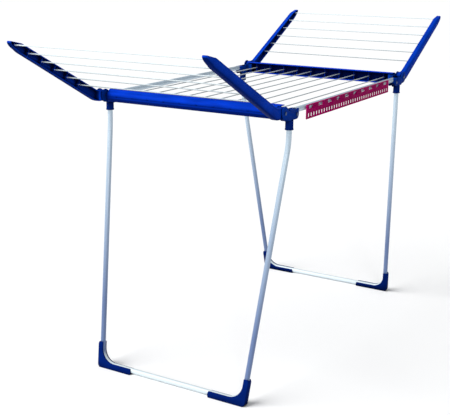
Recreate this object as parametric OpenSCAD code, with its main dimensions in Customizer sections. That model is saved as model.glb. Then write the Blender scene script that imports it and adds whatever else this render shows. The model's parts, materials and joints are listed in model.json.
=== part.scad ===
// Winged clothes drying rack: a deck of wires between two moulded crossbars,
// a folding wing at each end and two folding tubular legs.
// X is the width, Y the length (front is -Y), Z is up. The origin is on the floor,
// under the middle of the deck.

/* [Deck] */
// Height of the deck wires and side rails above the floor
deck_z = 736; // [700:1:800]
// Distance from the middle plane to the side rails, the arms and the leg tops
side_x = 267; // [240:1:300]
// Diameter of a side rail
rail_d = 14; // [12:1:14]
// Diameter of every drying wire
wire_d = 3; // [2:0.5:4]
// Number of drying wires in the deck
deck_wires = 10; // [8:1:10]
// Distance between neighbouring deck wires
deck_pitch = 49.5; // [40:0.5:50]

/* [Crossbars] */
// Distance from the middle of the deck to the crest of a crossbar
crossbar_out = 398; // [380:1:400]
// Depth of the crossbar, from its open side to its crest
crossbar_depth = 36; // [30:1:40]
// Height of the crossbar
crossbar_h = 34; // [30:1:36]
// Wall of the crossbar moulding
crossbar_wall = 2.5; // [2:0.5:3]

/* [Corner brackets] */
// Thickness of a bracket cheek
cheek_t = 3.2; // [2.5:0.1:4]
// Width of the slot between the two cheeks
slot_w = 16; // [14:0.5:18]
// Radius of the upright ears around the wing pin
ear_r = 16.5; // [15:0.5:19]

/* [Wings] */
// Distance from the middle of the deck to the wing pins
wing_pin_y = 400; // [398:1:405]
// Height of the wing pins above the deck wires
wing_pin_rise = 2; // [0:0.5:3]
// Upward tilt of an open wing
wing_tilt = 27.7; // [20:0.1:30]
// Level length of an arm, from its pin to its bend
arm_base = 17; // [14:1:20]
// Bend radius of an arm
arm_bend_r = 50; // [40:1:60]
// Half depth of an arm at its pin
arm_half_pin = 14; // [12:0.5:14]
// Half depth of an arm at its tip
arm_half_tip = 11.5; // [10:0.5:12]
// Height of the flat on top of the arm tips
tip_z = 905; // [895:1:910]
// Number of drying wires in a wing
wing_wires = 6; // [4:1:6]
// Distance from the bend of an arm to its first wire
wing_wire_start = 70; // [60:1:80]
// Distance between neighbouring wing wires
wing_pitch = 51; // [45:1:51]

/* [Legs] */
// Outward lean of an open leg below its knee
leg_splay = 10.75; // [8:0.25:12]
// Inward taper of each leg tube, towards the floor
leg_taper = 4.1; // [3:0.1:4.5]
// Diameter of a leg tube
leg_d = 14; // [12:1:14]
// Radius of the bends at the floor
leg_bend_r = 45; // [40:1:50]
// Radius of the slight bend at the knee
knee_r = 250; // [200:10:260]
// Distance from the middle plane to the upright tops of the leg tubes
leg_x = 270.5; // [267:0.5:270.5]
// Distance from the middle of the deck to the leg pins
leg_pin_y = 339; // [337:1:341]
// Depth of the leg pins below the deck wires
leg_pin_drop = 8; // [7:0.5:9]
// Distance from a leg pin outwards to the axis of its tube
leg_reach = 24.5; // [22:0.5:26]
// Depth of the knee below the leg pin
knee_drop = 68; // [68:1:90]
// Outer diameter of the leg sockets
socket_d = 20; // [18:1:20]

/* [Feet] */
// Height of a foot up the leg tube
foot_up = 60; // [50:1:70]
// Length of a foot along the floor tube
foot_along = 99; // [80:1:110]
// Thickness of a foot across the leg frame
foot_w = 19; // [17:0.5:22]
// Thickness of the foot sole under the tube
sole_t = 2.8; // [2:0.1:4]

/* [Small items strip] */
// Front and back ends of the strip along the right rail
strip_front = -289; // [-300:1:-250]
strip_back = 268; // [240:1:300]
// Height of the strip
strip_h = 36; // [32:1:40]
// Thickness of the strip
strip_t = 2; // [1.8:0.1:2.6]
// Number of hook windows
windows = 10; // [8:1:10]
// Number of narrow sock slots
sock_slots = 35; // [20:1:36]

/* [Hidden] */
sides = [["left", -1], ["right", 1]];
ends = [["front", -1], ["rear", 1]];
corner_names = [for (e = ends, s = sides) str(e[0], "_", s[0])];

bar_fn = 48;
gap = 0.3;          // clearance between faces that move past each other
pin_gap = 0.1;      // radial clearance of a pin that turns in its bore
seat_gap = 0.05;    // radial clearance of a tube or wire in its seat

// corner bracket, across the width
slot_in = side_x - slot_w / 2;
slot_out = side_x + slot_w / 2;
cheek_in = slot_in - cheek_t;
cheek_out = slot_out + cheek_t;
leg_pin_z = deck_z - leg_pin_drop;
wing_pin_z = deck_z + wing_pin_rise;
pin_r = 2.5;
head_r = 4.5;
head_t = 1.5;
bracket_top = deck_z + 5.3;
shoulder_rise = 4.2;   // the inner cheek stands this much taller beside the crossbar
leg_ear_r = 11.5;
bracket_bottom = leg_pin_z - leg_ear_r;
leg_boss_r = 7;
rail_seat = [leg_pin_y - leg_boss_r - 9, leg_pin_y - leg_boss_r - 0.5];
stop_wall = [380, wing_pin_y - arm_half_pin - 1];

// crossbar profile: depth runs outwards from the open side, height from the wire level
crossbar_in = crossbar_out - crossbar_depth;
crest_h = -1;
half_h = crossbar_h / 2;
crown = [23, half_h - crest_h];
keel_r = 12;
wire_end = crossbar_out - 1.6;

// arm and wing
arm_w = slot_w - 2 * gap;
arm_in = side_x - arm_w / 2;
arm_out = side_x + arm_w / 2;
arm_wall = 2.5;
bend_y = wing_pin_y + arm_base;
bend_z = wing_pin_z + arm_bend_r;
arm_dir = [cos(wing_tilt), sin(wing_tilt)];
arm_up = [-sin(wing_tilt), cos(wing_tilt)];
arm_start = [bend_y + arm_bend_r * arm_dir[1], bend_z - arm_bend_r * arm_dir[0]];
tip_run = (tip_z - arm_start[1] - arm_half_tip * arm_up[1]) / arm_dir[1];
tip_y = arm_start[0] + tip_run * arm_dir[0] + arm_half_tip * arm_up[0] + 22.4;
wire_inset = 3;
// rounded nose of an arm: distance in from its end, depth below its flat,
// and how far each of the two moves for every mm that the outline moves in
nose = [[19, 22, 0.55, 0.8], [13, 18, 0.62, 0.78], [8, 14, 0.7, 0.7], [4, 10, 0.78, 0.63],
        [1.5, 6.5, 1.5, 0.25], [0, 3.5, 1.9, -0.2], [0.8, 1, 1.8, -0.9], [3, 0, 1.7, -1]];

// leg frame: upright down to the knee, below it in a plane that leans out from the knee
leg_r = leg_d / 2;
floor_axis = leg_r + sole_t;
leg_y = leg_pin_y + leg_reach;
knee_z = leg_pin_z - knee_drop;
leg_len = (knee_z - floor_axis) / cos(leg_splay);
corner_x = leg_x - leg_len * tan(leg_taper);
turn = 90 - leg_taper;
tangent = leg_bend_r * tan(turn / 2);
knee_turn = acos(cos(leg_taper) * cos(leg_splay));
knee_heading = atan2(cos(leg_taper) * sin(leg_splay), -sin(leg_taper));
knee_tangent = knee_r * tan(knee_turn / 2);
leg_dir = [-sin(leg_taper), -cos(leg_taper)];
tube_wall = 1;
bend_step = 0.05;   // a bend is drawn this much thinner than the straight tube
lap = 0.5;          // a straight tube reaches this far into each bend
socket_top = bracket_bottom - gap;
socket_bottom = leg_pin_z - 35;
tube_top = socket_top - 5;

// strip
strip_gap = 4;
strip_in = side_x + rail_d / 2 + strip_gap;
strip_out = strip_in + strip_t;
strip_top = deck_z + 8;
clip_r = rail_d / 2 + 0.15;
clip_wall = 2;
clip_len = 24;
clip_posts = [1, 4, windows - 4, windows - 1];   // window gaps that hold a clip

// Points on an arc around c, from angle a0 to a1 in n steps
function arc(c, r, a0, a1, n) =
    [for (k = [0:n]) let (a = a0 + (a1 - a0) * k / n) c + r * [cos(a), sin(a)]];

// Crossbar outline with its outer skin moved in by t and its open edge at depth d0
function crossbar_outline(t, d0) = concat(
    [[d0, half_h - t]],
    [for (a = [90:-7.5:0]) [13 + (crown[0] - t) * cos(a), crest_h + (crown[1] - t) * sin(a)]],
    arc([24, -half_h + keel_r], keel_r - t, 10, -90, 10),
    [[d0, -half_h + t]]);

// Point of the arm centreline at distance s past the bend, moved h towards the upper edge
function on_arm(s, h) = arm_start + s * arm_dir + h * arm_up;

// Arm outline, moved in by t all round
function arm_outline(t) = concat(
    arc([wing_pin_y, wing_pin_z], arm_half_pin - t, 90, 270, 18),
    arc([bend_y, bend_z], arm_bend_r + arm_half_pin - t, -90, wing_tilt - 90, 8),
    [on_arm(tip_run - 18, -arm_half_tip + t)],
    [for (p = nose) [tip_y - p[0] - p[2] * t, tip_z - p[1] + p[3] * t]],
    [on_arm(tip_run - t, arm_half_tip - t)],
    arc([bend_y, bend_z], arm_bend_r - arm_half_pin + t, wing_tilt - 90, -90, 8));

// Cheek outline: rail end, ears around the wing pin, rounded lug around the leg pin.
// Beside the crossbar its top edge stands higher by rise.
function cheek_outline(rise) = concat(
    [[leg_pin_y - leg_ear_r, bracket_top - 1], [leg_pin_y - leg_ear_r + 1, bracket_top],
     [leg_pin_y + 14, bracket_top], [leg_pin_y + 18, bracket_top + rise]],
    arc([wing_pin_y, wing_pin_z], ear_r, 180 - asin((bracket_top + rise - wing_pin_z) / ear_r), -90, 24),
    [[389, bracket_bottom + 3.5], [381, bracket_bottom]],
    arc([leg_pin_y, leg_pin_z], leg_ear_r, -90, -180, 10));

// Draw the child for the right rear corner at another corner
module at_corner(side, end)
    mirror([side < 0 ? 1 : 0, 0, 0]) mirror([0, end < 0 ? 1 : 0, 0]) children();

// Extrude an outline of [y, z] points along X, from x0 to x1
module slab(x0, x1, points)
    translate([x0, 0, 0]) rotate([90, 0, 90]) linear_extrude(x1 - x0) polygon(points);

// Box between two corners
module block(a, b) translate(a) cube(b - a);

// Rod along X, from x0 to x1, around [y, z]
module rod_x(x0, x1, c, r)
    translate([x0, c[0], c[1]]) rotate([0, 90, 0]) cylinder(h = x1 - x0, r = r, $fn = bar_fn);

// Rod along Y, from y0 to y1, around [x, z]
module rod_y(y0, y1, c, r)
    translate([c[0], y1, c[1]]) rotate([90, 0, 0]) cylinder(h = y1 - y0, r = r, $fn = bar_fn);

function deck_wire_x(i) = (i - (deck_wires + 1) / 2) * deck_pitch;
function wing_wire_at(i) = on_arm(wing_wire_start + (i - 1) * wing_pitch, 0);

// ---- Deck ----

// C-shaped moulding, open towards the deck, with a rib and a blind boss at every wire,
// and a low round button on its crest over the boss
module crossbar(end) {
    rib_t = 1.8;
    boss_r = 3.5;
    button_r = 2.4;
    color("royalblue") at_corner(1, end) difference() {
        union() {
            difference() {
                translate([0, crossbar_in, deck_z]) slab(-cheek_in, cheek_in, crossbar_outline(0, 0));
                translate([0, crossbar_in, deck_z])
                    slab(-cheek_in - 1, cheek_in + 1, crossbar_outline(crossbar_wall, -1));
            }
            for (i = [1:deck_wires]) {
                translate([deck_wire_x(i) - rib_t / 2, crossbar_in, deck_z])
                    slab(0, rib_t, crossbar_outline(crossbar_wall / 2, 9));
                rod_y(crossbar_in + 14, crossbar_out - 2, [deck_wire_x(i), deck_z], boss_r);
                rod_y(crossbar_out - 1, crossbar_out + 0.5, [deck_wire_x(i), deck_z], button_r);
            }
        }
        for (i = [1:deck_wires])
            rod_y(crossbar_in - 1, wire_end + 0.2, [deck_wire_x(i), deck_z], wire_d / 2 + seat_gap);
    }
}

// Clevis moulding: holds a rail end and a crossbar end, and carries both hinge pins
module bracket(side, end) {
    web_t = 2.2;
    plug = [22, 4];
    color("navy") at_corner(side, end) difference() {
        union() {
            slab(cheek_in, slot_in, cheek_outline(shoulder_rise));
            slab(slot_out, cheek_out, cheek_outline(0));
            block([slot_in - 1, rail_seat[0], deck_z - 8.5],
                  [slot_out + 1, rail_seat[1], bracket_top]);
            block([slot_in - 1, rail_seat[1] - 1, bracket_top - 1 - web_t],
                  [slot_out + 1, 357, bracket_top - 1]);
            block([slot_in - 1, stop_wall[0], bracket_bottom],
                  [slot_out + 1, stop_wall[1], wing_pin_z - 9]);
            block([slot_in - 1, leg_y + 5, bracket_bottom],
                  [slot_out + 1, stop_wall[1], bracket_bottom + web_t]);
            block([cheek_in - 16, crossbar_in + plug[1], deck_z - 11],
                  [cheek_in + 1, crossbar_in + plug[0], deck_z + 12]);
        }
        rod_y(rail_seat[0] - 1, rail_seat[1] + 1, [side_x, deck_z], rail_d / 2 + seat_gap);
        rod_x(cheek_in - 1, cheek_out + 1, [leg_pin_y, leg_pin_z], pin_r + seat_gap);
        rod_x(cheek_in - 1, cheek_out + 1, [wing_pin_y, wing_pin_z], pin_r + seat_gap);
    }
}

// Thin-walled tube between two corner brackets
module rail(side) {
    reach = rail_seat[1] - 0.5;
    color("lightsteelblue") at_corner(side, 1) difference() {
        rod_y(-reach, reach, [side_x, deck_z], rail_d / 2);
        rod_y(-reach - 1, reach + 1, [side_x, deck_z], rail_d / 2 - tube_wall);
    }
}

// Coated wire between the blind bosses of the two crossbars
module deck_wire(i)
    color("whitesmoke") rod_y(-wire_end, wire_end, [deck_wire_x(i), deck_z], wire_d / 2);

// Rivet pins of the wings: one head outside, the other end flush with the inner cheek
module wing_pins()
    color("silver") for (e = [-1, 1], s = [-1, 1]) at_corner(s, e) {
        rod_x(cheek_in + 0.2, cheek_out, [wing_pin_y, wing_pin_z], pin_r);
        rod_x(cheek_out, cheek_out + head_t, [wing_pin_y, wing_pin_z], head_r);
    }

// Rivet pins of the legs, with a head on each side
module leg_pins()
    color("silver") for (e = [-1, 1], s = [-1, 1]) at_corner(s, e) {
        rod_x(cheek_in - head_t, cheek_out + head_t, [leg_pin_y, leg_pin_z], pin_r);
        rod_x(cheek_in - head_t, cheek_in, [leg_pin_y, leg_pin_z], head_r);
        rod_x(cheek_out, cheek_out + head_t, [leg_pin_y, leg_pin_z], head_r);
    }

// ---- Small items strip ----

// Clip that holds the rail from below, as an [x, z] outline around the rail axis
function clip_outline() = concat(
    arc([0, 0], clip_r + clip_wall, 0, -205, 20), arc([0, 0], clip_r, -205, 0, 20));

// Slotted plate that hangs outside the right rail, with a clip between some of its windows
module holder_strip() {
    length = strip_back - strip_front;
    window = [25, 8];
    slot = [7, 9];
    window_pitch = length / windows;
    slot_pitch = (length - 12) / sock_slots;
    foot_z = strip_top - strip_h;
    window_z = strip_top - 11;
    slot_z = foot_z + 4.5;
    color("crimson") difference() {
        union() {
            block([strip_in, strip_front, foot_z], [strip_out, strip_back, strip_top]);
            block([strip_in, strip_front, foot_z], [strip_out + 0.6, strip_back, foot_z + 2]);
            for (k = clip_posts) {
                y = strip_front + k * window_pitch;
                translate([side_x, y + clip_len / 2, deck_z]) rotate([90, 0, 0])
                    linear_extrude(clip_len) polygon(clip_outline());
                block([side_x + clip_r, y - clip_len / 2, deck_z - 3],
                      [strip_in + 0.5, y + clip_len / 2, deck_z + 0.5]);
            }
        }
        for (k = [0:windows - 1]) {
            y = strip_front + (k + 0.5) * window_pitch - window[0] / 2;
            block([strip_in - 0.6, y, window_z], [strip_out + 1, y + window[0], window_z + window[1]]);
        }
        for (k = [0:sock_slots - 1]) {
            y = strip_front + 6 + (k + 0.5) * slot_pitch - slot[0] / 2;
            block([strip_in - 2, y, slot_z], [strip_out + 1, y + slot[0], slot_z + slot[1]]);
        }
    }
}

// ---- Legs ----

// Put children drawn in the plane of the leg frame, with the knee at [0, 0, 0], in place
module on_knee(end)
    at_corner(1, end) translate([0, leg_y, knee_z]) rotate([leg_splay, 0, 0]) children();

// Upright top of a leg and the slight bend at its knee, as solid rod
module knee_path(r, bend_r, extra) {
    translate([leg_x, leg_y, knee_z + knee_tangent - lap])
        cylinder(h = tube_top + extra - knee_z - knee_tangent + lap, r = r, $fn = bar_fn);
    translate([leg_x, leg_y, knee_z + knee_tangent]) rotate([0, 0, knee_heading])
        translate([knee_r, 0, 0]) rotate([90, 0, 0]) rotate([0, 0, 180])
            rotate_extrude(angle = knee_turn, $fn = 4 * bar_fn)
                translate([knee_r, 0]) circle(r = bend_r, $fn = bar_fn);
}

// Leg frame below the knees, as solid rod: uprights, bends of radius bend_r and the floor tube
module frame_path(r, bend_r, both) {
    upright = leg_len / cos(leg_taper) - tangent;
    center = [corner_x - tangent, -leg_len + leg_bend_r];
    for (m = both ? [0, 1] : [0]) mirror([m, 0, 0]) {
        translate([leg_x, 0, 0]) rotate([0, leg_taper, 0]) translate([0, 0, -upright - lap])
            cylinder(h = upright - knee_tangent + 2 * lap, r = r, $fn = bar_fn);
        translate([center[0], 0, center[1]]) rotate([90, 0, 0]) rotate([0, 0, -90])
            rotate_extrude(angle = turn, $fn = 2 * bar_fn)
                translate([leg_bend_r, 0]) circle(r = bend_r, $fn = bar_fn);
    }
    floor_start = both ? -center[0] - lap : 0;
    translate([floor_start, 0, -leg_len]) rotate([0, 90, 0])
        cylinder(h = center[0] + lap - floor_start, r = r, $fn = bar_fn);
}

// Whole bent path of a leg as solid rod
module leg_path(end, r, bend_r, extra) {
    for (s = [-1, 1]) at_corner(s, end) knee_path(r, bend_r, extra);
    on_knee(end) frame_path(r, bend_r, true);
}

// U-shaped leg tube
module leg_tube(end)
    color("lightsteelblue") difference() {
        leg_path(end, leg_r, leg_r - bend_step, 0);
        leg_path(end, leg_r - tube_wall, leg_r - tube_wall - bend_step, 2);
    }

// Socket over the top of a leg tube, with the tongue that turns on the leg pin
module leg_socket(side, end) {
    tongue = [
        [leg_y - 9.5, socket_top - 4], each arc([leg_pin_y, leg_pin_z], leg_boss_r, 290, 20, 18),
        [leg_y + 3, leg_pin_z - 10], [leg_y + 3, socket_top - 4]];
    color("midnightblue") at_corner(side, end) difference() {
        union() {
            slab(slot_in + gap, slot_out - gap, tongue);
            translate([leg_x, leg_y, socket_bottom])
                cylinder(h = socket_top - socket_bottom, d = socket_d, $fn = bar_fn);
            translate([leg_x, leg_y, socket_bottom]) cylinder(h = 3, d = socket_d + 1.6, $fn = bar_fn);
        }
        rod_x(slot_in, slot_out, [leg_pin_y, leg_pin_z], pin_r + pin_gap);
        translate([leg_x, leg_y, socket_bottom - 1])
            cylinder(h = tube_top + 1 - socket_bottom, r = leg_r + seat_gap, $fn = bar_fn);
    }
}

// Corner shoe: fills the outside of the tube bend to a square corner and forms the sole
module foot(side, end) {
    skin = leg_r + 2;
    lip = 5;
    corner_r = 12;
    corner = [corner_x, -leg_len];
    center = corner + tangent * [-1, 0] + leg_bend_r * [0, 1];
    up = corner - foot_up * leg_dir;
    across = [cos(leg_taper), -sin(leg_taper)];
    toe = [corner_x + skin, -leg_len - skin - 4];
    outline = concat(
        [up - lip * across, up + (skin - 2.5) * across, up + skin * across + 6 * leg_dir,
         toe + [0.5, corner_r + 6]],
        arc(toe + [-corner_r, corner_r], corner_r, 0, -90, 9),
        [[corner_x - foot_along, toe[1]], [corner_x - foot_along - 3, -leg_len - 3],
         [corner_x - foot_along, -leg_len + lip]],
        arc(center, leg_bend_r - lip, -90, -leg_taper, 10));
    color("navy") at_corner(side, 1) intersection() {
        on_knee(end) difference() {
            translate([0, foot_w / 2, 0]) rotate([90, 0, 0]) linear_extrude(foot_w) polygon(outline);
            frame_path(leg_r + seat_gap, leg_r + seat_gap + bend_step, false);
        }
        translate([0, -600, 0]) cube([400, 1200, 200]);
    }
}

// ---- Wings ----

// Channel-shaped arm, open towards the other arm, with a heel that stops it when open
module wing_arm(side, end) {
    boss_r = 3.5;
    rib_t = 1.8;
    pocket_in = arm_in - 1;
    pocket_out = arm_out - arm_wall;
    shoulder = 3.2;
    crest = 1.2;
    heel = [[stop_wall[1] + gap, wing_pin_z - 9], [stop_wall[1] + gap, wing_pin_z - 15.5],
            [wing_pin_y - 4, wing_pin_z - 15.5], [wing_pin_y, wing_pin_z - 9]];
    color("mediumblue") at_corner(side, end) difference() {
        union() {
            difference() {
                union() {
                    slab(arm_in, arm_out - shoulder, arm_outline(0));
                    slab(arm_out - shoulder, arm_out - crest, arm_outline(1.5));
                    slab(arm_out - crest, arm_out, arm_outline(4));
                    slab(arm_in, arm_out, heel);
                }
                intersection() {
                    slab(pocket_in, pocket_out, arm_outline(arm_wall));
                    block([pocket_in, wing_pin_y + 24, 0], [pocket_out, tip_y, 2 * deck_z]);
                }
            }
            for (i = [1:wing_wires]) {
                at = wing_wire_at(i);
                rod_x(arm_in + wire_inset, pocket_out + 0.5, at, boss_r);
                if (i < wing_wires)
                    translate([arm_in + 4, at[0], at[1]]) rotate([wing_tilt, 0, 0])
                        translate([0, -rib_t / 2, -arm_half_tip + 1])
                            cube([pocket_out - arm_in - 3.5, rib_t, 2 * arm_half_tip - 2]);
            }
        }
        for (i = [1:wing_wires])
            rod_x(pocket_in, pocket_out, wing_wire_at(i), wire_d / 2 + seat_gap);
        rod_x(pocket_in, arm_out + 1, [wing_pin_y, wing_pin_z], pin_r + pin_gap);
    }
}

// Coated wire between the two arms of a wing
module wing_wire(end, i)
    color("whitesmoke") at_corner(1, end)
        rod_x(-arm_out + arm_wall + 0.2, arm_out - arm_wall - 0.2, wing_wire_at(i), wire_d / 2);

crossbar(-1);  // front_crossbar
crossbar(1);  // rear_crossbar
rail(-1);  // left_rail
rail(1);  // right_rail
wing_pins();
leg_pins();
holder_strip();
leg_tube(-1);  // front_leg_tube
leg_tube(1);  // rear_leg_tube
for (i = [1:deck_wires])
    deck_wire(i);
for (e = ends, i = [1:wing_wires])
    wing_wire(e[1], i);
for (e = ends, s = sides) {
    corner = str(e[0], "_", s[0]);
    bracket(s[1], e[1]);
    leg_socket(s[1], e[1]);
    foot(s[1], e[1]);
    wing_arm(s[1], e[1]);
}
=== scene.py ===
import json
import math

import bmesh
import bpy
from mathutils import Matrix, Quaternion, Vector


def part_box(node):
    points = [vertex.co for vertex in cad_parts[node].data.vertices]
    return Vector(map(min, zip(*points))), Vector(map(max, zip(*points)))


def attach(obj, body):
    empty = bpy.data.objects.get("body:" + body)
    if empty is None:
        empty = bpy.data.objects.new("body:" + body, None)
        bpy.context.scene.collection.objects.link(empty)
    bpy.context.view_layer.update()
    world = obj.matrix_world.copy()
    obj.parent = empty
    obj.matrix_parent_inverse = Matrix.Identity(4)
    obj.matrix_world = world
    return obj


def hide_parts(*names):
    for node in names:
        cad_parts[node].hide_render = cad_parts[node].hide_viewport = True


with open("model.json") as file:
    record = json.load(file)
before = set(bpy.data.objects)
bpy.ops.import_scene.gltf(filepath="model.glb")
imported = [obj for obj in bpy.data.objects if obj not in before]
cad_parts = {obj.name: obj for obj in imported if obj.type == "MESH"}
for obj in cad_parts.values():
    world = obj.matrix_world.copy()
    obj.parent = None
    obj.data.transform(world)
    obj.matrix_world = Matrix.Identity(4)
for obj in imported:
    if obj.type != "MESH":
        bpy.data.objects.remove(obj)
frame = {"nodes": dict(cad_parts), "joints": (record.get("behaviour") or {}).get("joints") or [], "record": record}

MM = 0.001
FLAT_ANGLE = math.radians(0.6)    # faces that meet at less than this are one flat face
SMOOTH_ANGLE = math.radians(35)    # edges that turn less than this are shaded smooth
SHARP_ANGLE = math.radians(28)    # edges that turn more than this are rounded over
nodes = frame["nodes"]
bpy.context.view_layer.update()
bodies = frame["record"]["behaviour"]["bodies"]
body_of = {node: body for body, members in bodies.items() for node in members}
slot_of = {part["node"]: part["material_slot"] for part in frame["record"]["subparts"]}


# ---- Materials ----

class Graph:
    """A material's node tree, with short ways to add the nodes that the finishes share."""

    def __init__(self, name, colour, roughness, **sockets):
        self.material = bpy.data.materials.new(name)
        self.material.use_nodes = True
        self.tree = self.material.node_tree
        self.shader = self.tree.nodes["Principled BSDF"]
        self.shader.inputs["Base Color"].default_value = (*colour, 1)
        self.shader.inputs["Roughness"].default_value = roughness
        for socket, value in sockets.items():
            self.shader.inputs[socket.replace("_", " ")].default_value = value
        coordinates = self.tree.nodes.new("ShaderNodeTexCoord")
        self.place = coordinates.outputs["Object"]
        self.facing = coordinates.outputs["Normal"]

    def noise(self, scale, detail=2.0, stretch=(1, 1, 1)):
        mapping = self.tree.nodes.new("ShaderNodeMapping")
        mapping.inputs["Scale"].default_value = stretch
        texture = self.tree.nodes.new("ShaderNodeTexNoise")
        texture.inputs["Scale"].default_value = scale
        texture.inputs["Detail"].default_value = detail
        self.tree.links.new(self.place, mapping.inputs["Vector"])
        self.tree.links.new(mapping.outputs["Vector"], texture.inputs["Vector"])
        return texture.outputs["Fac"]

    def ramp(self, factor, low, high, *between):
        """Each stop is (position, value) or (position, colour)."""
        ramp = self.tree.nodes.new("ShaderNodeValToRGB")
        stops = ramp.color_ramp.elements
        for stop, (position, value) in zip(stops, (low, high)):
            stop.position = position
            stop.color = (*value, 1) if hasattr(value, "__len__") else (value, value, value, 1)
        for position, value in between:
            stops.new(position).color = (*value, 1)
        self.tree.links.new(factor, ramp.inputs["Fac"])
        return ramp.outputs["Color"]

    def mix(self, factor, a, b):
        mix = self.tree.nodes.new("ShaderNodeMix")
        mix.data_type = "RGBA"
        for socket, value in ((mix.inputs[0], factor), (mix.inputs[6], a), (mix.inputs[7], b)):
            if isinstance(value, bpy.types.NodeSocket):
                self.tree.links.new(value, socket)
            else:
                socket.default_value = value if isinstance(value, float) else (*value, 1)
        return mix.outputs[2]

    def edges(self, low, high):
        """1 on outer edges, 0 elsewhere."""
        geometry = self.tree.nodes.new("ShaderNodeNewGeometry")
        return self.ramp(geometry.outputs["Pointiness"], (low, 0.0), (high, 1.0))

    def cavities(self, reach):
        """0 deep inside a channel, 1 on open faces."""
        occlusion = self.tree.nodes.new("ShaderNodeAmbientOcclusion")
        occlusion.inputs["Distance"].default_value = reach
        occlusion.samples = 8
        return self.ramp(occlusion.outputs["AO"], (0.3, 0.0), (0.9, 1.0))

    def height(self):
        """Height above the floor at rest, in metres."""
        split = self.tree.nodes.new("ShaderNodeSeparateXYZ")
        self.tree.links.new(self.place, split.inputs[0])
        return split.outputs["Z"]

    def undersides(self, low, high):
        """0 on faces of the piece that look down by more than low, 1 above high."""
        split = self.tree.nodes.new("ShaderNodeSeparateXYZ")
        lift = self.tree.nodes.new("ShaderNodeMapRange")
        lift.inputs["From Min"].default_value = low
        lift.inputs["From Max"].default_value = high
        self.tree.links.new(self.facing, split.inputs[0])
        self.tree.links.new(split.outputs["Z"], lift.inputs["Value"])
        return lift.outputs["Result"]

    def colour(self, output):
        self.tree.links.new(output, self.shader.inputs["Base Color"])

    def roughness(self, output):
        self.tree.links.new(output, self.shader.inputs["Roughness"])

    def bump(self, *layers):
        """Each layer is (height output, strength, depth in metres)."""
        normal = None
        for height, strength, depth in layers:
            bump = self.tree.nodes.new("ShaderNodeBump")
            bump.inputs["Strength"].default_value = strength
            bump.inputs["Distance"].default_value = depth
            self.tree.links.new(height, bump.inputs["Height"])
            if normal is not None:
                self.tree.links.new(normal, bump.inputs["Normal"])
            normal = bump.outputs["Normal"]
        self.tree.links.new(normal, self.shader.inputs["Normal"])


def shade(colour, factor):
    return tuple(min(1.0, channel * factor) for channel in colour)


# Real plastic has about 1.5, which lays a pale veil over faces seen at a grazing angle.
PLASTIC_IOR = 1.03


def moulded_plastic(name, colour, roughness=0.32, flow=(1, 1, 1), underside_shade=(-0.5, 0.1), hollow=0.12):
    """Injection-moulded plastic: flow marks, a fine texture and paler edges, a painted highlight that also stands
    for wear. The insides of channels and the undersides carry painted shade, to match the shading in the photo."""
    g = Graph(name, colour, roughness, IOR=PLASTIC_IOR)
    flow_marks = g.ramp(g.noise(14, 3, flow), (0.35, shade(colour, 0.75)), (0.7, shade(colour, 1.15)))
    # Painted highlight: the edges are painted paler, standing also for wear.
    edge_highlighted = g.mix(g.edges(0.53, 0.62), flow_marks, shade(colour, 1.45))
    # Painted shade on faces that look down.
    shaded = g.mix(g.undersides(*underside_shade), shade(colour, 0.24), edge_highlighted)
    # Painted shade deep inside channels.
    g.colour(g.mix(g.cavities(35 * MM), shade(colour, hollow), shaded))
    g.roughness(g.ramp(g.noise(60, 3), (0.3, roughness - 0.06), (0.7, roughness + 0.08)))
    g.bump((g.noise(2600, 2), 0.25, 0.05 * MM), (g.noise(90, 2), 0.2, 0.2 * MM))
    return g.material


def powder_coat(name, colour):
    """Pale powder coat on steel tube: orange peel and a faint unevenness of colour. To match the photo it carries
    painted shade, duller and bluer low on the legs and darker under the rails, and painted light that makes the
    floor tubes palest."""
    g = Graph(name, colour, 0.34, Coat_Weight=0.25, Coat_Roughness=0.2)
    uneven = g.ramp(g.noise(22, 3), (0.3, shade(colour, 0.95)), (0.7, shade(colour, 1.03)))
    # Painted shade under the rails.
    rail = g.mix(g.undersides(-1.0, -0.5), shade(colour, 0.45), uneven)
    # Painted shade low and midway up the legs, and painted light on the floor tubes.
    leg_shade_and_light = g.ramp(g.height(), (0.03, FLOOR_TUBE_LIGHT), (0.62, colour),
                    (0.045, LOW_LEG_SHADE), (0.18, LOW_LEG_SHADE), (0.38, MID_LEG_SHADE))
    g.colour(g.mix(g.ramp(g.height(), (0.66, 0.0), (0.7, 1.0)), leg_shade_and_light, rail))
    g.roughness(g.ramp(g.noise(120, 2), (0.3, 0.28), (0.7, 0.42)))
    g.bump((g.noise(700, 2), 0.35, 0.12 * MM))
    return g.material


def coated_wire(name, colour):
    """Steel wire in a thin plastic coat, slightly uneven. To match the photo it carries painted shade underneath
    and painted light high on the wings, where the wires fade into the white background."""
    g = Graph(name, colour, 0.38)
    uneven = g.ramp(g.noise(40, 3), (0.3, shade(colour, 0.94)), (0.7, shade(colour, 1.04)))
    # Painted shade on the undersides of the wires.
    shade_underneath = g.mix(g.undersides(-0.3, 0.5), shade(colour, 0.25), uneven)
    # Painted light: the wires are paler high on the wings.
    g.colour(g.mix(g.ramp(g.height(), (0.78, 0.0), (0.9, 0.6)), shade_underneath, shade(colour, 1.4)))
    g.roughness(g.ramp(g.noise(200, 2), (0.3, 0.3), (0.7, 0.46)))
    g.bump((g.noise(900, 2), 0.3, 0.08 * MM))
    return g.material


def rivet_steel(name, colour):
    """Rivet steel with turning marks. The colour given is dark because the pins look dark in the
    photo, while the record calls them zinc-plated."""
    g = Graph(name, colour, 0.3, Metallic=1.0)
    g.colour(g.ramp(g.noise(500, 4), (0.3, shade(colour, 0.8)), (0.7, shade(colour, 1.08))))
    g.roughness(g.ramp(g.noise(900, 3, (1, 8, 8)), (0.3, 0.22), (0.7, 0.44)))
    g.bump((g.noise(1500, 2, (1, 6, 6)), 0.3, 0.06 * MM))
    return g.material


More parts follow.
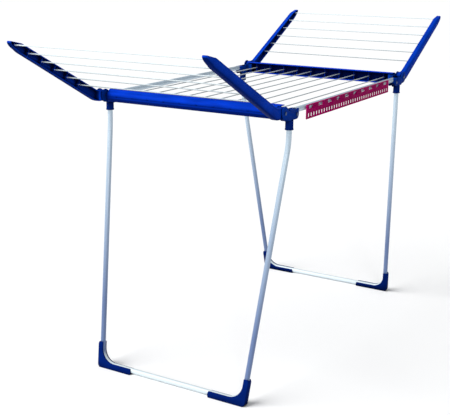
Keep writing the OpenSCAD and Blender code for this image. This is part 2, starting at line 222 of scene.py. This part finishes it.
COBALT = (0.0012, 0.034, 0.46)
BLUE = (0.0015, 0.034, 0.38)
NAVY = (0.0012, 0.028, 0.25)
DARK_NAVY = (0.0012, 0.013, 0.13)
CRIMSON = (0.3, 0.0012, 0.09)
# Painted shade for the legs and painted light for the floor tubes, used by the tube paint.
LOW_LEG_SHADE = (0.09, 0.145, 0.30)
MID_LEG_SHADE = (0.25, 0.33, 0.46)
FLOOR_TUBE_LIGHT = (0.56, 0.64, 0.68)
FINISHES = {
    # Painted shade underneath and in channels comes with each plastic finish; the crossbar's last pair and the
    # hollow values set how much.
    "crossbar_plastic": moulded_plastic("crossbar_plastic", COBALT, 0.28, (1, 6, 6), (-0.3, 0.45)),
    "bracket_plastic": moulded_plastic("bracket_plastic", NAVY, 0.32),
    "arm_plastic": moulded_plastic("arm_plastic", BLUE, 0.3, (6, 1, 1), hollow=0.06),
    "leg_fitting_plastic": moulded_plastic("leg_fitting_plastic", DARK_NAVY, 0.36),
    "tube_paint": powder_coat("tube_paint", (0.42, 0.52, 0.61)),
    "wire_coating": coated_wire("wire_coating", (0.56, 0.63, 0.66)),
    "pin_steel": rivet_steel("pin_steel", (0.02, 0.05, 0.16)),
    "strip_plastic": moulded_plastic("strip_plastic", CRIMSON, 0.3, (6, 1, 6), hollow=0.6),
}


# ---- Pieces ----

def welded(node):
    """The node's shape as a mesh without seams, with its flat faces whole again."""
    bm = bmesh.new()
    bm.from_mesh(nodes[node].data)
    bmesh.ops.remove_doubles(bm, verts=bm.verts, dist=0.002 * MM)
    bmesh.ops.dissolve_limit(bm, angle_limit=FLAT_ANGLE, verts=bm.verts, edges=bm.edges)
    return bm


def finished(name, bm, body, slot):
    """A piece of the object from a bmesh: shaded, coated and riding on its body."""
    for edge in bm.edges:
        edge.smooth = edge.is_manifold and edge.calc_face_angle(0) < SMOOTH_ANGLE
    for face in bm.faces:
        face.smooth = True
    mesh = bpy.data.meshes.new(name)
    bm.to_mesh(mesh)
    bm.free()
    mesh.materials.append(FINISHES[slot])
    piece = bpy.data.objects.new(name, mesh)
    bpy.context.scene.collection.objects.link(piece)
    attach(piece, body)
    return piece


def rounded(node, width):
    """The node's own shape with every sharp edge rounded over, standing for the node."""
    bm = welded(node)
    sharp = [e for e in bm.edges if e.is_manifold and e.calc_face_angle(0) > SHARP_ANGLE]
    bmesh.ops.bevel(bm, geom=sharp, offset=width, offset_type="OFFSET", segments=3,
                    profile=0.5, affect="EDGES", clamp_overlap=False)
    bmesh.ops.remove_doubles(bm, verts=bm.verts, dist=0.001 * MM)
    piece = finished(node + "_moulding", bm, body_of[node], slot_of[node])
    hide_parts(node)


def join_solids(name, kept, steps):
    """Add and cut closed meshes: steps are (operation, bmesh), worked in order on kept."""
    def temporary(bm, label):
        mesh = bpy.data.meshes.new(label)
        bm.to_mesh(mesh)
        bm.free()
        made = bpy.data.objects.new(label, mesh)
        bpy.context.scene.collection.objects.link(made)
        return made

    body = temporary(kept, name)
    tools = []
    for number, (operation, bm) in enumerate(steps):
        tool = temporary(bm, f"{name}_tool_{number}")
        tools.append(tool)
        change = body.modifiers.new(operation, "BOOLEAN")
        change.operation = operation
        change.solver = "EXACT"
        change.use_self = operation == "UNION"
        change.object = tool
    view = bpy.context.evaluated_depsgraph_get()
    result = bmesh.new()
    result.from_mesh(body.evaluated_get(view).to_mesh())
    for made in [body, *tools]:
        mesh = made.data
        bpy.data.objects.remove(made)
        bpy.data.meshes.remove(mesh)
    return result


def rings_solid(rings):
    """A closed solid through equal rings of points, with its two end rings capped."""
    bm = bmesh.new()
    loops = [[bm.verts.new(point) for point in ring] for ring in rings]
    for lower, upper in zip(loops, loops[1:]):
        for k in range(len(lower)):
            following = (k + 1) % len(lower)
            bm.faces.new((lower[k], lower[following], upper[following], upper[k]))
    bm.faces.new(loops[0])
    bm.faces.new(loops[-1])
    bmesh.ops.recalc_face_normals(bm, faces=bm.faces)
    return bm


def prism(x0, x1, points):
    """A solid between two depths, from an outline of (y, z) points."""
    return rings_solid([[(x, y, z) for y, z in points] for x in (x0, x1)])


def rod(x0, x1, at, radius, count=32):
    angles = [2 * math.pi * k / count for k in range(count)]
    return prism(x0, x1, [(at[0] + radius * math.cos(a), at[1] + radius * math.sin(a)) for a in angles])


def merged(solids):
    bm = bmesh.new()
    for solid in solids:
        mesh = bpy.data.meshes.new("part")
        solid.to_mesh(mesh)
        bm.from_mesh(mesh)
        solid.free()
        bpy.data.meshes.remove(mesh)
    return bm


class WingArm:
    """The arm of the right rear corner: a channel with a crowned outer face."""

    TILT = math.radians(27.7)
    HALF_PIN, HALF_TIP = 14 * MM, 11.5 * MM
    BASE, BEND_R = 17 * MM, 50 * MM
    WALL, CROWN, FULLNESS = 2.5 * MM, 5.5 * MM, 2.5
    WIRES, FIRST_WIRE, WIRE_PITCH = 6, 70 * MM, 51 * MM
    BOSS_R, RIB = 3.5 * MM, 1.8 * MM
    WIRE_BORE_R, PIN_BORE_R = 1.55 * MM, 2.6 * MM
    NOSE = [(19, 22), (13, 18), (8, 14), (4, 10), (1.5, 6.5), (0, 3.5), (0.8, 1), (3, 0)]

    def __init__(self, node):
        low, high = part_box(node)
        self.inner, self.outer, self.tip, self.top = low[0], high[0], high[1], high[2]
        fold = next(joint for joint in frame["joints"] if joint["name"] == "rear_wing_fold")
        self.pin = tuple(fold["pos_m"][1:])
        self.heel_front, self.heel_bottom = low[1], low[2]
        self.bend = (self.pin[0] + self.BASE, self.pin[1] + self.BEND_R)
        self.along = Vector((math.cos(self.TILT), math.sin(self.TILT)))
        self.across = Vector((-self.along[1], self.along[0]))
        self.start = Vector(self.bend) - self.BEND_R * self.across
        self.run = (self.top - self.start[1] - self.HALF_TIP * self.across[1]) / self.along[1]

    def on_axis(self, distance):
        return self.start + distance * self.along

    def edge_pairs(self):
        """Points around the outline, each with the point of the centreline that it belongs to."""
        pairs = []
        pin, bend = Vector(self.pin), Vector(self.bend)
        for k in range(25):
            angle = math.radians(90 + 180 * k / 24)
            pairs.append((pin + self.HALF_PIN * Vector((math.cos(angle), math.sin(angle))), pin))
        turns = [math.radians(-90) + self.TILT * k / 10 for k in range(11)]
        stations = [(self.run - 18 * MM) * k / 14 for k in range(1, 15)]
        half = [self.HALF_PIN + (self.HALF_TIP - self.HALF_PIN) * s / self.run for s in stations]
        for angle in turns:
            spoke = Vector((math.cos(angle), math.sin(angle)))
            pairs.append((bend + (self.BEND_R + self.HALF_PIN) * spoke, bend + self.BEND_R * spoke))
        for s, h in zip(stations, half):
            pairs.append((self.on_axis(s) - h * self.across, self.on_axis(s)))
        heart = self.on_axis(self.run - 8 * MM)
        for inward, depth in self.NOSE:
            pairs.append((Vector((self.tip - inward * MM, self.top - depth * MM)), heart))
        for s, h in zip(reversed(stations), reversed(half)):
            pairs.append((self.on_axis(s) + h * self.across, self.on_axis(s)))
        for angle in reversed(turns):
            spoke = Vector((math.cos(angle), math.sin(angle)))
            pairs.append((bend + (self.BEND_R - self.HALF_PIN) * spoke, bend + self.BEND_R * spoke))
        return pairs

    def shell(self):
        pairs = self.edge_pairs()
        rings = [[(self.inner, *edge) for edge, _ in pairs]]
        shoulder = self.outer - self.CROWN
        for k in range(10):
            angle = math.radians(82 * k / 9)
            spread = math.cos(angle) ** (2 / self.FULLNESS)
            rise = math.sin(angle) ** (2 / self.FULLNESS)
            rings.append([(shoulder + self.CROWN * rise, *(centre + spread * (edge - centre)))
                          for edge, centre in pairs])
        return rings_solid(rings)

    def pocket(self):
        """The hollow of the channel, from its rim to the back of the crowned face."""
        cut = self.pin[0] + 24 * MM
        inset = [centre + (edge - centre) * (1 - self.WALL / (edge - centre).length)
                 for edge, centre in self.edge_pairs()]
        outline = []
        for here, following in zip(inset, inset[1:] + inset[:1]):
            if here[0] >= cut:
                outline.append(here)
            if (here[0] - cut) * (following[0] - cut) < 0:
                outline.append(here.lerp(following, (cut - here[0]) / (following[0] - here[0])))
        return prism(self.inner - self.WALL, self.outer - self.WALL, outline)

    def heel(self):
        back, top = self.pin[0], self.pin[1] - 9 * MM
        outline = [(self.heel_front, top), (self.heel_front, self.heel_bottom),
                   (back - 4 * MM, self.heel_bottom), (back, top)]
        return prism(self.inner, self.outer - self.CROWN, outline)

    def wire_places(self):
        return [self.on_axis(self.FIRST_WIRE + k * self.WIRE_PITCH) for k in range(self.WIRES)]

    def stiffeners(self):
        floor = self.outer - self.WALL + 0.5 * MM
        solids = []
        places = self.wire_places()
        for at in places:
            solids.append(rod(self.inner + 3 * MM, floor, at, self.BOSS_R))
        for at in places[:-1]:
            side, reach = self.RIB / 2 * self.along, (self.HALF_TIP - 1 * MM) * self.across
            corners = [at - side - reach, at + side - reach, at + side + reach, at - side + reach]
            solids.append(prism(self.inner + 4 * MM, floor, corners))
        return merged(solids)

    def bores(self):
        deep = self.outer - self.WALL
        solids = [rod(self.inner - self.WALL, deep, at, self.WIRE_BORE_R) for at in self.wire_places()]
        solids.append(rod(self.inner - self.WALL, self.outer + self.WALL, self.pin, self.PIN_BORE_R))
        return merged(solids)

    def mesh(self):
        steps = [("UNION", self.heel()), ("DIFFERENCE", self.pocket()),
                 ("UNION", self.stiffeners()), ("DIFFERENCE", self.bores())]
        bm = join_solids("arm_mould", self.shell(), steps)
        bmesh.ops.remove_doubles(bm, verts=bm.verts, dist=0.005 * MM)
        bmesh.ops.dissolve_limit(bm, angle_limit=FLAT_ANGLE, verts=bm.verts, edges=bm.edges)
        sharp = [e for e in bm.edges if e.is_manifold and e.calc_face_angle(0) > math.radians(40)]
        bmesh.ops.bevel(bm, geom=sharp, offset=0.35 * MM, offset_type="OFFSET", segments=2,
                        profile=0.5, affect="EDGES", clamp_overlap=True)
        mesh = bpy.data.meshes.new("arm_mould")
        bm.to_mesh(mesh)
        bm.free()
        return mesh


def wing_arms():
    pattern = WingArm("rear_right_wing_arm").mesh()
    for end, y_sign in (("front", -1), ("rear", 1)):
        for side, x_sign in (("left", -1), ("right", 1)):
            node = f"{end}_{side}_wing_arm"
            bm = bmesh.new()
            bm.from_mesh(pattern)
            for vertex in bm.verts:
                vertex.co.x *= x_sign
                vertex.co.y *= y_sign
            if x_sign * y_sign < 0:
                bmesh.ops.reverse_faces(bm, faces=bm.faces)
            piece = finished(node + "_moulding", bm, body_of[node], slot_of[node])
            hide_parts(node)
    bpy.data.meshes.remove(pattern)


EDGE_ROUNDING = {
    "crossbar": 0.6 * MM,
    "bracket": 0.6 * MM,
    "leg_socket": 0.35 * MM,
    "foot": 1.0 * MM,
    "holder_strip": 0.5 * MM,
    "pins": 0.4 * MM,
    "rail": 0.3 * MM,
    "leg_tube": 0.3 * MM,
    "wire": 0.3 * MM,
}
wing_arms()
for node in sorted(nodes):
    if "wing_arm" not in node:
        kind = next(kind for kind in EDGE_ROUNDING if kind in node)
        rounded(node, EDGE_ROUNDING[kind])


# ---- Floor, light and camera ----

FLOOR_HALF = 40

# The camera was solved from the legs, feet and crossbars in the photo. Angles are in degrees.
CAMERA_PLACE = (1.2657, -2.3579, 1.1097)
CAMERA_AZIMUTH = 30.47
CAMERA_ELEVATION = 15.42
CAMERA_ROLL = 0.50
CAMERA_SENSOR = 36
CAMERA_LENS = 74.53


def studio_floor():
    mesh = bpy.data.meshes.new("floor")
    half = FLOOR_HALF
    corners = [(-half, -half, 0), (half, -half, 0), (half, half, 0), (-half, half, 0)]
    mesh.from_pydata(corners, [], [(0, 1, 2, 3)])
    floor = bpy.data.objects.new("floor", mesh)
    bpy.context.scene.collection.objects.link(floor)
    g = Graph("floor_paper", (0.96, 0.96, 0.96), 0.7)
    g.bump((g.noise(30, 3), 0.1, 0.2 * MM))
    mesh.materials.append(g.material)


def sun(name, azimuth, elevation, strength, softness):
    """A distant soft light. Azimuth is counted from -Y towards +X, as the camera's is."""
    light = bpy.data.lights.new(name, "SUN")
    light.energy = strength
    light.angle = math.radians(softness)
    lamp = bpy.data.objects.new(name, light)
    lamp.rotation_mode = "QUATERNION"
    lamp.rotation_quaternion = (-towards(azimuth, elevation)).to_track_quat("-Z", "Y")
    bpy.context.scene.collection.objects.link(lamp)


def studio_world(strength):
    world = bpy.data.worlds.new("studio")
    world.use_nodes = True
    background = world.node_tree.nodes["Background"]
    background.inputs["Color"].default_value = (0.96, 0.98, 1, 1)
    background.inputs["Strength"].default_value = strength
    bpy.context.scene.world = world


def towards(azimuth, elevation):
    """The direction from the object to a camera or lamp at these angles in degrees."""
    azimuth, elevation = math.radians(azimuth), math.radians(elevation)
    return Vector((math.sin(azimuth) * math.cos(elevation),
                   -math.cos(azimuth) * math.cos(elevation), math.sin(elevation)))


def photo_camera():
    """The camera at the photograph's angle: it looks back along +Y, turned to its left and down."""
    back = towards(CAMERA_AZIMUTH, CAMERA_ELEVATION)
    roll = Quaternion((0, 0, 1), math.radians(CAMERA_ROLL))
    data = bpy.data.cameras.new("camera")
    data.sensor_width = CAMERA_SENSOR
    data.lens = CAMERA_LENS
    camera = bpy.data.objects.new("camera", data)
    camera.location = CAMERA_PLACE
    camera.rotation_mode = "QUATERNION"
    camera.rotation_quaternion = (-back).to_track_quat("-Z", "Y") @ roll
    bpy.context.scene.collection.objects.link(camera)
    bpy.context.scene.camera = camera


studio_floor()
studio_world(0.29)
sun("key", -40, 45, 3.45, 45)
sun("fill", 33, 17, 0.85, 12)
photo_camera()
bpy.context.scene.view_settings.view_transform = "Standard"
